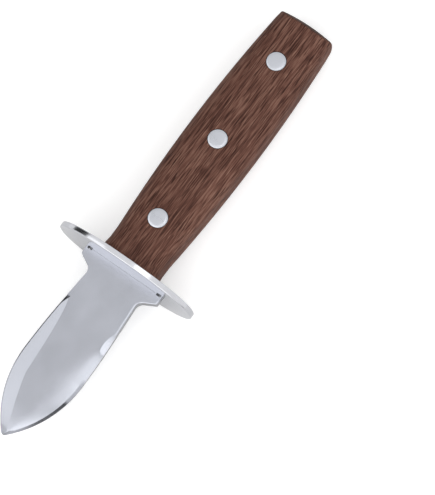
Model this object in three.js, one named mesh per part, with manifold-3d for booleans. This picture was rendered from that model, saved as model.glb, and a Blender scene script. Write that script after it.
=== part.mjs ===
// An oyster knife: a spear-shaped blade, an oval hand guard and a riveted two-scale wooden handle.
// Millimetres. X runs from the butt to the tip, Y across the blade, Z out of the blade's front face.
// The pieces are drawn from the guard: x = 0 is the guard's front face, where the blade seats.
import * as THREE from 'three';
import { mergeVertices } from 'three/addons/utils/BufferGeometryUtils.js';
import Module from 'manifold-3d';

// Blade, from the guard's front face to the tip
const BLADE_LENGTH = 64.3;
const BLADE_WIDTH = 22.8;
const BLADE_THICKNESS = 3;
const WIDEST_FROM_TIP = 26.4;
const TIP_RADIUS = 1.2;
const EDGE_THICKNESS = 0.6;
const NECK_WIDTH = 19.5;
const GRIND_WIDTH = 20.8;

// Ground bevels. On each face one bevel is flat and starts at the neck, and the other is convex and starts
// further forward, past a scoop in the edge. The unground flat narrows between them to a point near the
// tip. A lip along the convex bevel's edge is gentle at first and steep towards the tip.
const FLAT_GRIND_FROM_GUARD = 16.5;
const CONVEX_GRIND_FROM_GUARD = 25;
const GRIND_EASE = 0.42;
const FLAT_SHOULDER_FROM_TIP = 20.3;
const FLAT_SHOULDER_WIDTH = 11;
const FLAT_POINT_FROM_TIP = 3;
const FLAT_POINT_WIDTH = 0.3;
const LEAST_GRIND = 0.05;
const CONVEX_SHARE = 0.5;
const CONVEX_DROP = 0.25;
const CONVEX_DEPTH = 0.41;
const LIP_WIDTH = 0.8;
const GENTLE_LIP_DROP = 0.13;
const GENTLE_LIP_FROM_GUARD = 36;
const STEEP_LIP_FROM_GUARD = 46;
const SCOOP_FROM_GUARD = 22.8;
const SCOOP_RADIUS = 63;
const SCOOP_REACH = 2.1;
const SCOOP_SLOPE = THREE.MathUtils.degToRad(8);

// Shoulders that seat on the guard, the tongue in the guard's slot and the tang inside the handle
const SHOULDER_WIDTH = 30;
const SHOULDER_LENGTH = 2.8;
const SHOULDER_SLOPE = THREE.MathUtils.degToRad(62);
const SHOULDER_FILLET = 3;
const SHOULDER_OVERHANG = 1.4;
const RELIEF_WIDTH = 1.6;
const RELIEF_LENGTH = 0.9;
const TANG_WIDTH = 15;
const TANG_THICKNESS = 2.4;
const TANG_END_INSET = 6;
const TANG_END_CHAMFER = 2;

// Guard
const GUARD_LENGTH = 52;
const GUARD_DEPTH = 27.7;
const GUARD_THICKNESS = 2.1;
const GUARD_EXPONENT = 2.15;
const GUARD_EDGE_RADIUS = 0.35;

// Handle, from the guard's rear face to the butt
const HANDLE_LENGTH = 100.2;
const HANDLE_THICKNESS = 18.6;
const FRONT_WIDTH = 21.2;
const WAIST_WIDTH = 20;
const WAIST_FROM_GUARD = 6.7;
const BELLY_WIDTH = 24.1;
const BELLY_FROM_BUTT = 46.4;
const BUTT_WIDTH = 20;
const BUTT_DOME = 3;
const BUTT_CROWN = 0.8;
const BUTT_EDGE_RADIUS = 0.5;
const HANDLE_EDGE_RADIUS = 6.5;

// Rivets: a headed pin from the front in a headed sleeve from the back
const RIVET_COUNT = 3;
const RIVET_FROM_GUARD = 16.9;
const RIVET_FROM_BUTT = 18.5;
const HEAD_RADIUS = 3.2;
const HEAD_DEPTH = 1.4;
const HEAD_CHAMFER = 0.15;
const SLEEVE_RADIUS = 2.1;
const PIN_RADIUS = 1.5;

// Clearances
const FIT = 0.1;
const SEAT_GAP = 0.1;
const SEAM_GAP = 0.12;
const RIVET_END_GAP = 0.6;
const CUT_MARGIN = 1;

// Facets
const TIP_STEPS = 4;
const OGIVE_STEPS = 10;
const GRIND_STEPS = 9;
const CONVEX_POINTS = 4;
const FILLET_STEPS = 5;
const GUARD_STEPS = 56;
const EDGE_STEPS = 3;
const HANDLE_EDGE_STEPS = 6;
const HANDLE_STEPS = 6;
const DOME_STEPS = 5;
const ROUND_STEPS = 24;
const SCOOP_STEPS = 96;

const { lerp, inverseLerp, clamp } = THREE.MathUtils;
const wasm = await Module();
wasm.setup();

// A closed mesh as a solid that can be joined and cut
function solidOf(geometry) {
  const bare = geometry.clone();
  bare.deleteAttribute('normal');
  bare.deleteAttribute('uv');
  const merged = mergeVertices(bare);
  return new wasm.Manifold(new wasm.Mesh({
    numProp: 3,
    vertProperties: new Float32Array(merged.attributes.position.array),
    triVerts: new Uint32Array(merged.index.array),
  }));
}

function geometryOf(solid) {
  const mesh = solid.getMesh();
  const geometry = new THREE.BufferGeometry();
  geometry.setAttribute('position', new THREE.BufferAttribute(mesh.vertProperties, 3));
  geometry.setIndex(new THREE.BufferAttribute(mesh.triVerts, 1));
  geometry.computeVertexNormals();
  return geometry;
}

function cut(geometry, tools) {
  return geometryOf(tools.reduce((rest, tool) => rest.subtract(solidOf(tool)), solidOf(geometry)));
}

// A closed skin over rings of points. The rings run from the tip's side to the butt's, have the same number
// of points, and each turns anticlockwise as seen from the tip. An end is flat, or domed if its ring is.
function loft(rings) {
  const count = rings[0].length;
  const positions = rings.flat().flatMap((point) => point.toArray());
  const index = [];
  for (let ring = 0; ring + 1 < rings.length; ring += 1) {
    for (let i = 0; i < count; i += 1) {
      const a = ring * count + i;
      const b = ring * count + (i + 1) % count;
      index.push(a, a + count, b, b, a + count, b + count);
    }
  }
  [0, rings.length - 1].forEach((ring) => {
    const middle = new THREE.Vector3();
    rings[ring].forEach((point) => middle.addScaledVector(point, 1 / count));
    const hub = positions.length / 3;
    positions.push(...middle.toArray());
    for (let i = 0; i < count; i += 1) {
      const pair = [ring * count + i, ring * count + (i + 1) % count];
      index.push(hub, ...(ring > 0 ? pair.reverse() : pair));
    }
  });
  const geometry = new THREE.BufferGeometry();
  geometry.setAttribute('position', new THREE.Float32BufferAttribute(positions, 3));
  geometry.setIndex(index);
  return geometry;
}

// A round bar along Z
function bar(radius, low, high, x, y) {
  const geometry = new THREE.CylinderGeometry(radius, radius, high - low, ROUND_STEPS);
  geometry.rotateX(Math.PI / 2);
  geometry.translate(x, y, (low + high) / 2);
  return geometry;
}

// A block across the long axis
function box(rear, front, halfWidth, low, high) {
  const geometry = new THREE.BoxGeometry(front - rear, 2 * halfWidth, high - low);
  geometry.translate((rear + front) / 2, 0, (low + high) / 2);
  return geometry;
}

// The same shape on the other face, after a half turn about the knife's long axis
function otherFace(geometry) {
  return geometry.clone().rotateX(Math.PI);
}

// Places along the knife and sizes that follow from the driving dimensions
const widest = BLADE_LENGTH - WIDEST_FROM_TIP;
const guardRear = -GUARD_THICKNESS;
const handleFront = guardRear - SEAT_GAP;
const butt = guardRear - HANDLE_LENGTH;
const tangEnd = butt + TANG_END_INSET;
const bladeHalf = BLADE_THICKNESS / 2;
const tangHalf = TANG_THICKNESS / 2;
const handleHalf = HANDLE_THICKNESS / 2;
const tongueWidth = SHOULDER_WIDTH - 2 * SHOULDER_OVERHANG;
const rivetPitch = (HANDLE_LENGTH - RIVET_FROM_GUARD - RIVET_FROM_BUTT) / (RIVET_COUNT - 1);
const firstRivet = guardRear - RIVET_FROM_GUARD;
const rivetPlaces = Array.from({ length: RIVET_COUNT }, (_, i) => firstRivet - i * rivetPitch);

// Half the blade's width between its widest place and the neck
function grindHalfWidth(x) {
  const share = clamp(inverseLerp(widest, FLAT_GRIND_FROM_GUARD, x), 0, 1);
  return BLADE_WIDTH / 2 - (BLADE_WIDTH - GRIND_WIDTH) / 2 * share ** 2;
}

// The blade's edge as [x, half width] from the tip to the start of the grind: a small round that is blunted
// at the very tip, an arc that runs out of it to the widest place, and a shallow curve in to the neck
function edgeOutline() {
  const half = BLADE_WIDTH / 2;
  const tipCentre = BLADE_LENGTH - TIP_RADIUS;
  const reach = tipCentre - widest;
  const ogive = (reach ** 2 + half ** 2 - TIP_RADIUS ** 2) / (2 * (half - TIP_RADIUS));
  const meet = Math.atan2(ogive - half, reach);
  const points = [];
  for (let i = 1; i <= TIP_STEPS; i += 1) {
    const turn = meet * i / TIP_STEPS;
    const x = i === 1 ? BLADE_LENGTH : tipCentre + TIP_RADIUS * Math.cos(turn);
    points.push([x, TIP_RADIUS * Math.sin(turn)]);
  }
  for (let i = 1; i <= OGIVE_STEPS; i += 1) {
    const turn = lerp(meet, Math.PI / 2, i / OGIVE_STEPS);
    points.push([widest + ogive * Math.cos(turn), half - ogive + ogive * Math.sin(turn)]);
  }
  for (let i = 1; i <= GRIND_STEPS; i += 1) {
    const x = lerp(widest, FLAT_GRIND_FROM_GUARD, i / GRIND_STEPS);
    points.push([x, grindHalfWidth(x)]);
  }
  return points;
}

// The neck, its fillet, the sloping shoulder and the shoulder's straight edge as [x, half width]
function shoulderOutline() {
  const neck = NECK_WIDTH / 2;
  const half = SHOULDER_WIDTH / 2;
  const slopeRise = half - neck - SHOULDER_FILLET * (1 - Math.cos(SHOULDER_SLOPE));
  const slopeStart = SHOULDER_LENGTH + slopeRise / Math.tan(SHOULDER_SLOPE);
  const filletStart = slopeStart + SHOULDER_FILLET * Math.sin(SHOULDER_SLOPE);
  const points = [];
  for (let i = 0; i <= FILLET_STEPS; i += 1) {
    const turn = SHOULDER_SLOPE * i / FILLET_STEPS;
    const out = SHOULDER_FILLET * (1 - Math.cos(turn));
    points.push([filletStart - SHOULDER_FILLET * Math.sin(turn), neck + out]);
  }
  return [...points, [SHOULDER_LENGTH, half], [0, half]];
}

// Half the width of the unground flat, on the side of a bevel that starts at a given place
function flatHalfWidth(x, grindStart) {
  const shoulder = BLADE_LENGTH - FLAT_SHOULDER_FROM_TIP;
  const point = BLADE_LENGTH - FLAT_POINT_FROM_TIP;
  if (x > shoulder) {
    const share = clamp(inverseLerp(shoulder, point, x), 0, 1);
    return lerp(FLAT_SHOULDER_WIDTH, FLAT_POINT_WIDTH, share) / 2;
  }
  const share = clamp(inverseLerp(grindStart, shoulder, x), 0, 1) ** GRIND_EASE;
  return lerp(grindHalfWidth(grindStart), FLAT_SHOULDER_WIDTH / 2, share);
}

// One bevel at a place along the blade, which ends at a lip of a given width and takes a given share of the
// depth down to the edge: where the flat ends, where the bevel ends, and half the thickness left there
function bevelAt(x, halfWidth, top, grindStart, lip, depth) {
  const end = halfWidth - lip;
  const flat = Math.min(flatHalfWidth(x, grindStart), end - LEAST_GRIND);
  const fullWidth = BLADE_WIDTH / 2 - lip - flatHalfWidth(widest, grindStart);
  const widthShare = x > widest ? 1 : clamp((end - flat - LEAST_GRIND) / fullWidth, 0, 1);
  return { flat, end, height: lerp(top, EDGE_THICKNESS / 2, depth * widthShare) };
}

// A section of the ground blade: the front half, then the same after a half turn about the long axis
function groundSection(x, halfWidth) {
  const pointShare = clamp(inverseLerp(BLADE_LENGTH - FLAT_POINT_FROM_TIP, BLADE_LENGTH, x), 0, 1);
  const top = lerp(bladeHalf, EDGE_THICKNESS / 2, pointShare);
  const lip = Math.min(LIP_WIDTH, halfWidth / 2);
  const flatBevel = bevelAt(x, halfWidth, top, FLAT_GRIND_FROM_GUARD, 0, 1);
  const convexBevel = bevelAt(x, halfWidth, top, CONVEX_GRIND_FROM_GUARD, lip, CONVEX_DEPTH);
  const steepness = clamp(inverseLerp(GENTLE_LIP_FROM_GUARD, STEEP_LIP_FROM_GUARD, x), 0, 1);
  const lipDrop = lerp(GENTLE_LIP_DROP, convexBevel.height, steepness);
  const front = [
    [halfWidth, Math.max(convexBevel.height - lipDrop, EDGE_THICKNESS / 2)],
    [convexBevel.end, convexBevel.height],
    [lerp(convexBevel.flat, convexBevel.end, CONVEX_SHARE), lerp(top, convexBevel.height, CONVEX_DROP)],
    [convexBevel.flat, top],
    [-flatBevel.flat, top],
    [-halfWidth, flatBevel.height],
  ];
  const ring = [...front, ...front.map(([y, z]) => [-y, -z])];
  return ring.map(([y, z]) => new THREE.Vector3(x, y, z));
}

// A plain rectangular section with as many points as a ground one
function plainSection(x, halfWidth, halfThickness) {
  const inner = halfWidth - LEAST_GRIND;
  const front = [-inner, -halfWidth];
  for (let i = 0; i < CONVEX_POINTS; i += 1) {
    front.unshift(lerp(inner, halfWidth, i / (CONVEX_POINTS - 1)));
  }
  const ring = [...front.map((y) => [y, halfThickness]), ...front.map((y) => [-y, -halfThickness])];
  return ring.map(([y, z]) => new THREE.Vector3(x, y, z));
}

// The scoop in the edge: a grinding wheel whose axis lies along the scoop's slope
function scoopWheel() {
  const length = 2 * BLADE_WIDTH;
  const geometry = new THREE.CylinderGeometry(SCOOP_RADIUS, SCOOP_RADIUS, length, SCOOP_STEPS);
  geometry.translate(0, 0, SCOOP_RADIUS);
  geometry.rotateX(-SCOOP_SLOPE);
  geometry.translate(SCOOP_FROM_GUARD, grindHalfWidth(SCOOP_FROM_GUARD) - SCOOP_REACH, bladeHalf);
  return geometry;
}

function blade() {
  const rings = [
    ...edgeOutline().map(([x, half]) => groundSection(x, half)),
    ...shoulderOutline().map(([x, half]) => plainSection(x, half, bladeHalf)),
    plainSection(0, tongueWidth / 2, tangHalf),
    plainSection(guardRear, tongueWidth / 2, tangHalf),
    plainSection(guardRear, TANG_WIDTH / 2, tangHalf),
    plainSection(tangEnd + TANG_END_CHAMFER, TANG_WIDTH / 2, tangHalf),
    plainSection(tangEnd, TANG_WIDTH / 2 - TANG_END_CHAMFER, tangHalf),
  ];
  const through = bladeHalf + CUT_MARGIN;
  const reliefs = [-1, 1].map((side) => {
    const relief = box(-RELIEF_LENGTH / 2, RELIEF_LENGTH / 2, RELIEF_WIDTH / 2, -through, through);
    return relief.translate(0, side * tongueWidth / 2, 0);
  });
  const holes = rivetPlaces.map((x) => bar(SLEEVE_RADIUS + FIT, -through, through, x, 0));
  return cut(loft(rings), [scoopWheel(), otherFace(scoopWheel()), ...reliefs, ...holes]);
}

// A ring of the guard's oval, drawn in by an inset
function ovalRing(x, inset) {
  const power = 2 / GUARD_EXPONENT;
  return Array.from({ length: GUARD_STEPS }, (_, i) => {
    const turn = 2 * Math.PI * i / GUARD_STEPS;
    const across = Math.sign(Math.cos(turn)) * Math.abs(Math.cos(turn)) ** power;
    const up = Math.sign(Math.sin(turn)) * Math.abs(Math.sin(turn)) ** power;
    return new THREE.Vector3(x, across * (GUARD_LENGTH / 2 - inset), up * (GUARD_DEPTH / 2 - inset));
  });
}

function guard() {
  const front = -SEAT_GAP;
  const edge = Array.from({ length: EDGE_STEPS + 1 }, (_, i) => {
    const turn = Math.PI / 2 * i / EDGE_STEPS;
    return [GUARD_EDGE_RADIUS * (1 - Math.sin(turn)), GUARD_EDGE_RADIUS * (1 - Math.cos(turn))];
  });
  const rings = [
    ...edge.map(([inset, depth]) => ovalRing(front - depth, inset)),
    ...edge.reverse().map(([inset, depth]) => ovalRing(guardRear + depth, inset)),
  ];
  const slotHalf = tangHalf + FIT;
  const slot = box(guardRear - CUT_MARGIN, front + CUT_MARGIN, tongueWidth / 2 + FIT, -slotHalf, slotHalf);
  return cut(loft(rings), [slot]);
}

// Half the handle's width at a distance from the guard: a slight flare at the guard, a waist, a belly and
// the butt
function handleHalfWidth(fromGuard) {
  const belly = HANDLE_LENGTH - BELLY_FROM_BUTT;
  if (fromGuard < WAIST_FROM_GUARD) {
    return lerp(WAIST_WIDTH, FRONT_WIDTH, (1 - fromGuard / WAIST_FROM_GUARD) ** 2) / 2;
  }
  const [end, endWidth] = fromGuard < belly ? [WAIST_FROM_GUARD, WAIST_WIDTH] : [HANDLE_LENGTH, BUTT_WIDTH];
  return lerp(BELLY_WIDTH, endWidth, inverseLerp(belly, end, fromGuard) ** 2) / 2;
}

// Half a section of the handle as [y, z], from the seam up, with rounded upper corners
function scaleSection(fromGuard, inset) {
  const halfWidth = handleHalfWidth(fromGuard) - inset;
  const top = handleHalf - inset;
  const round = Math.max(HANDLE_EDGE_RADIUS - inset, LEAST_GRIND);
  const side = [[halfWidth, SEAM_GAP / 2]];
  for (let i = 0; i <= HANDLE_EDGE_STEPS; i += 1) {
    const turn = Math.PI / 2 * i / HANDLE_EDGE_STEPS;
    side.push([halfWidth - round * (1 - Math.cos(turn)), top - round * (1 - Math.sin(turn))]);
  }
  return [...side, ...side.map(([y, z]) => [-y, z]).reverse()];
}

// A ring of the butt, drawn to a share of its size about the seam's middle. The butt is domed from the seam
// to the handle's front and back, and crowned across.
function buttRing(fromGuard, inset, share) {
  return scaleSection(fromGuard, inset).map(([y, z]) => {
    const across = share * y;
    const up = lerp(SEAM_GAP / 2, z, share);
    const setBack = BUTT_DOME * (up / handleHalf) ** 2 + BUTT_CROWN * (2 * across / BUTT_WIDTH) ** 2;
    return new THREE.Vector3(guardRear - fromGuard + setBack, across, up);
  });
}

function frontScale() {
  const belly = HANDLE_LENGTH - BELLY_FROM_BUTT;
  const buttStart = HANDLE_LENGTH - BUTT_EDGE_RADIUS - BUTT_DOME - BUTT_CROWN;
  const stations = [SEAT_GAP, WAIST_FROM_GUARD / 2];
  for (let i = 0; i < HANDLE_STEPS; i += 1) {
    stations.push(lerp(WAIST_FROM_GUARD, belly, i / HANDLE_STEPS));
  }
  for (let i = 0; i < HANDLE_STEPS; i += 1) {
    stations.push(lerp(belly, buttStart, i / HANDLE_STEPS));
  }
  const rings = stations.map((fromGuard) => (
    scaleSection(fromGuard, 0).map(([y, z]) => new THREE.Vector3(guardRear - fromGuard, y, z))
  ));
  for (let i = 0; i <= EDGE_STEPS; i += 1) {
    const turn = Math.PI / 2 * i / EDGE_STEPS;
    const fromGuard = HANDLE_LENGTH - BUTT_EDGE_RADIUS * (1 - Math.sin(turn));
    rings.push(buttRing(fromGuard, BUTT_EDGE_RADIUS * (1 - Math.cos(turn)), 1));
  }
  for (let i = DOME_STEPS - 1; i > 0; i -= 1) {
    rings.push(buttRing(HANDLE_LENGTH, BUTT_EDGE_RADIUS, i / DOME_STEPS));
  }
  const tangSide = TANG_WIDTH / 2 + FIT;
  const recess = box(tangEnd - FIT, handleFront + CUT_MARGIN, tangSide, -CUT_MARGIN, tangHalf + FIT);
  const above = handleHalf + CUT_MARGIN;
  const holes = rivetPlaces.map((x) => bar(SLEEVE_RADIUS + FIT, -CUT_MARGIN, above, x, 0));
  const seats = rivetPlaces.map((x) => bar(HEAD_RADIUS + FIT, handleHalf - HEAD_DEPTH - FIT, above, x, 0));
  return cut(loft(rings), [recess, ...holes, ...seats]);
}

// A turned piece about Z from a profile of [radius, height]
function turned(profile) {
  const geometry = new THREE.LatheGeometry(profile.map(([r, z]) => new THREE.Vector2(r, z)), ROUND_STEPS);
  geometry.rotateX(Math.PI / 2);
  return geometryOf(solidOf(geometry));
}

// A rivet's pin: its head lies flush in the front scale
function rivetPin() {
  const underHead = handleHalf - HEAD_DEPTH;
  const foot = -underHead + RIVET_END_GAP;
  return turned([
    [0, foot],
    [PIN_RADIUS, foot],
    [PIN_RADIUS, underHead],
    [HEAD_RADIUS, underHead],
    [HEAD_RADIUS, handleHalf - HEAD_CHAMFER],
    [HEAD_RADIUS - HEAD_CHAMFER, handleHalf],
    [0, handleHalf],
  ]);
}

// A rivet's sleeve: its head lies flush in the back scale, and its bore takes the pin
function rivetSleeve() {
  const underHead = HEAD_DEPTH - handleHalf;
  const mouth = -underHead - RIVET_END_GAP;
  return turned([
    [0, -handleHalf],
    [HEAD_RADIUS - HEAD_CHAMFER, -handleHalf],
    [HEAD_RADIUS, HEAD_CHAMFER - handleHalf],
    [HEAD_RADIUS, underHead],
    [SLEEVE_RADIUS, underHead],
    [SLEEVE_RADIUS, mouth],
    [PIN_RADIUS + FIT, mouth],
    [PIN_RADIUS + FIT, underHead],
    [0, underHead],
  ]);
}

const steel = { color: 0xb5b8c0, roughness: 0.3, metalness: 1 };
const polish = { color: 0xcfd1d8, roughness: 0.18, metalness: 1 };
const rivetSteel = { color: 0xd2d5dc, roughness: 0.35, metalness: 1 };
const wood = { color: 0x64483e, roughness: 0.6, metalness: 0 };

function piece(name, geometry, finish, x = 0) {
  const mesh = new THREE.Mesh(geometry, new THREE.MeshStandardMaterial(finish));
  mesh.name = name;
  mesh.position.x = x;
  return mesh;
}

const knife = new THREE.Group();
knife.add(
  piece('blade', blade(), steel),
  piece('guard', guard(), polish),
  piece('front_scale', frontScale(), wood),
  piece('back_scale', otherFace(frontScale()), wood),
);
rivetPlaces.forEach((x, i) => {
  knife.add(
    piece(`rivet_${i + 1}_pin`, rivetPin(), rivetSteel, x),
    piece(`rivet_${i + 1}_sleeve`, rivetSleeve(), rivetSteel, x),
  );
});

// The frame's origin is the middle of the knife's length, on its long axis
knife.position.x = -(BLADE_LENGTH + butt) / 2;

export default knife;
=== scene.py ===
"""An oyster knife: the looks of its blade, guard, handle scales and rivets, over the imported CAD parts.

The file is laid out as an add-on. Sizes and colours are properties, each piece or group of like pieces has
an operator, and a panel in the 3D view's sidebar lists them. Lengths are metres. X runs from the butt to the
tip, Y across the blade and Z out of the blade's front face.
"""

import math
from collections import namedtuple

import bmesh
import bpy
from bpy.props import FloatProperty, FloatVectorProperty, PointerProperty
from mathutils import Matrix, Vector


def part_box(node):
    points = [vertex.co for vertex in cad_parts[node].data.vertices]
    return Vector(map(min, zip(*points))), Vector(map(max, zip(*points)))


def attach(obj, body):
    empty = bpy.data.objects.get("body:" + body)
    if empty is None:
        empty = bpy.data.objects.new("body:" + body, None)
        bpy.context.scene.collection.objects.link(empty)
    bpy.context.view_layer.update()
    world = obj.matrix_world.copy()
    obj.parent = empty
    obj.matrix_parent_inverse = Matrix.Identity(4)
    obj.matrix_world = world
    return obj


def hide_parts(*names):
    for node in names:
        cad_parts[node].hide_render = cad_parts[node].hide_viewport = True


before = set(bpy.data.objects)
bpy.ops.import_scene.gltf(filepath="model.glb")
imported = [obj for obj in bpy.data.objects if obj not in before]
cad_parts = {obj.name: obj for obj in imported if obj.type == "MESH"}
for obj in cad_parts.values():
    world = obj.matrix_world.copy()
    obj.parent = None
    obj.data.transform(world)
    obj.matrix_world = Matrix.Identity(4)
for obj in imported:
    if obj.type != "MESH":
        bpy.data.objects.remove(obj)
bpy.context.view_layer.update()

bl_info = {
    "name": "Oyster Knife",
    "version": (1, 0, 0),
    "blender": (4, 5, 0),
    "location": "3D View > Sidebar > Oyster Knife",
    "description": "Models an oyster knife over its CAD parts and sets a white stage for it",
    "category": "Add Mesh",
}

MM = 0.001
FULL_TURN = 2 * math.pi
HALF_TURN = Matrix.Rotation(math.pi, 4, "X")
WHITE = (1, 1, 1, 1)
BODY = "root"
RIVETS = (1, 2, 3)

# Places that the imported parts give
BLADE_LOW, BLADE_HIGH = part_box("blade")
GUARD_LOW, GUARD_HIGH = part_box("guard")
SCALE_LOW, SCALE_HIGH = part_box("front_scale")
RIVET_PLACES = [sum(corner.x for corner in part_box(f"rivet_{number}_pin")) / 2 for number in RIVETS]

# How finely curves are divided
TIP_STEPS = 5
OGIVE_STEPS = 44
GRIND_STEPS = 44
FILLET_STEPS = 12
CORNER_STEPS = 6
CONVEX_STEPS = 16
WHEEL_STEPS = 360
GUARD_STEPS = 192
GUARD_EDGE_STEPS = 6
ROUND_STEPS = 96
DOME_STEPS = 5
SCALE_STEPS = 24
SCALE_EDGE_STEPS = 12
HOLE_EDGE_STEPS = 2
BUTT_ROWS = 9
BUTT_COLUMNS = 15

# Points of a section's front: one at the edge, those of the convex bevel and three of the far side
SECTION_POINTS = 1 + (CONVEX_STEPS + 1) + 3

# The widest lip and the least distance between a section's points, as shares of its half width
WIDEST_LIP = 1 / 2
LEAST_SPACING = 1 / 8

# Turns between faces under which they are shaded smooth
BLADE_SMOOTHING = math.radians(7)
GUARD_SMOOTHING = math.radians(20)
SCALE_SMOOTHING = math.radians(25)
RIVET_SMOOTHING = math.radians(25)

# How much of a face's normal lies along a direction where the face counts as facing it
FACING = 0.5
BUTT_FACING = 0.6

# Distances under which points are merged, and under which they count as lying in a plane
SAME_PLACE = 0.0004 * MM
NEAR = 0.01 * MM

# Waves of the finishes' noises in a metre along each axis, with their detail and shift
Noise = namedtuple("Noise", "waves detail shift", defaults=((0, 0, 0),))
GRINDING_LINES = Noise((7000, 160, 900), 3)
SMUDGES = Noise((90, 130, 130), 2)
WIPING_MARKS = Noise((700, 160, 160), 4)
HAZE = Noise((140, 140, 140), 2)
FIGURE = Noise((30, 170, 170), 3)
STREAKS = Noise((80, 1700, 1700), 3, (3, 7, 1))
GRAIN = Noise((180, 3600, 3600), 3, (8, 4, 6))
PORES = Noise((130, 3000, 3000), 1, (11, 2, 5))
FLECKS = Noise((180, 3200, 3200), 1, (5, 13, 9))

# Ranges of a noise, or of how far a surface faces an axis, that a finish turns into a share
NOISE_RANGE = (0.3, 0.7)
LINES_RANGE = (0.25, 0.75)
PORES_RANGE = (0.57, 0.65)
FLECKS_RANGE = (0.63, 0.7)
SIDE_RANGE = (0.75, 0.35)
END_RANGE = (0.4, 0.75)

# How far the steels vary in tone and in roughness
BLADE_TINT = 0.03
BLADE_SHEEN = (-0.03, 0.03)
CUT_DULLNESS = 0.2
POLISHED_TINT = 0.04
WIPING_SHEEN = (-0.03, 0.05)
HAZE_SHEEN = (-0.02, 0.03)

# Shares of noises in the wood's tone, and the tones of its three colours
FIGURE_SHARE = 0.2
STREAKS_SHARE = 0.4
GRAIN_SHARE = 0.45
DARK_TONE, BODY_TONE, LIGHT_TONE = 0.22, 0.5, 0.78

# How strongly pores, flecks and the end faces' mix of end grain and painted shade cover those colours, and
# the wood's roughness and shine
PORES_SHARE = 0.85
FLECKS_SHARE = 0.7
END_GRAIN_AND_SHADE_SHARE = 0.7
WOOD_ROUGHNESS = (0.44, 0.6)
WOOD_SHINE = 0.05

# Depths of relief, the height of the wood's grain as a share of its relief, and that relief's strength
GRINDING_DEPTH = 0.0015 * MM
WIPING_DEPTH = 0.003 * MM
WOOD_DEPTH = 0.05 * MM
GRAIN_HEIGHT = 0.35
WOOD_RELIEF = 0.6

# Sockets of a node that mixes two colours
MIX_SHARE, MIX_FIRST, MIX_SECOND, MIX_RESULT = 0, 6, 7, 2

# What hangs round the knife: its direction from the knife, its two sides and a lamp's radiance
HANGING_DISTANCE = 900 * MM
Softbox = namedtuple("Softbox", "name direction sides radiance")
Card = namedtuple("Card", "name direction sides")
SOFTBOXES = (
    Softbox("overhead_strip", (-0.215, 0.05, 1), (380 * MM, 220 * MM), 1.2),
    Softbox("front_softbox", (0.49, 0.09, 1), (620 * MM, 1260 * MM), 1.0),
    Softbox("left_softbox", (0.14, -0.78, 1), (500 * MM, 350 * MM), 0.55),
)
CARDS = (
    Card("left_card", (-0.39, -1.88, 1), (380 * MM, 415 * MM)),
    Card("tip_card", (0.35, 1, 0.13), (600 * MM, 230 * MM)),
)


def size(name, description, millimetres):
    """A length that is given in millimetres."""
    return FloatProperty(name=name, description=description, default=millimetres * MM, unit="LENGTH")


def angle(name, description, degrees):
    """An angle that is given in degrees."""
    return FloatProperty(name=name, description=description, default=math.radians(degrees), subtype="ANGLE")


def colour(name, description, value):
    """A linear colour."""
    return FloatVectorProperty(
        name=name, description=description, default=value, subtype="COLOR", min=0, max=1
    )


def amount(name, description, value):
    """A plain factor."""
    return FloatProperty(name=name, description=description, default=value, subtype="FACTOR")


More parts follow.
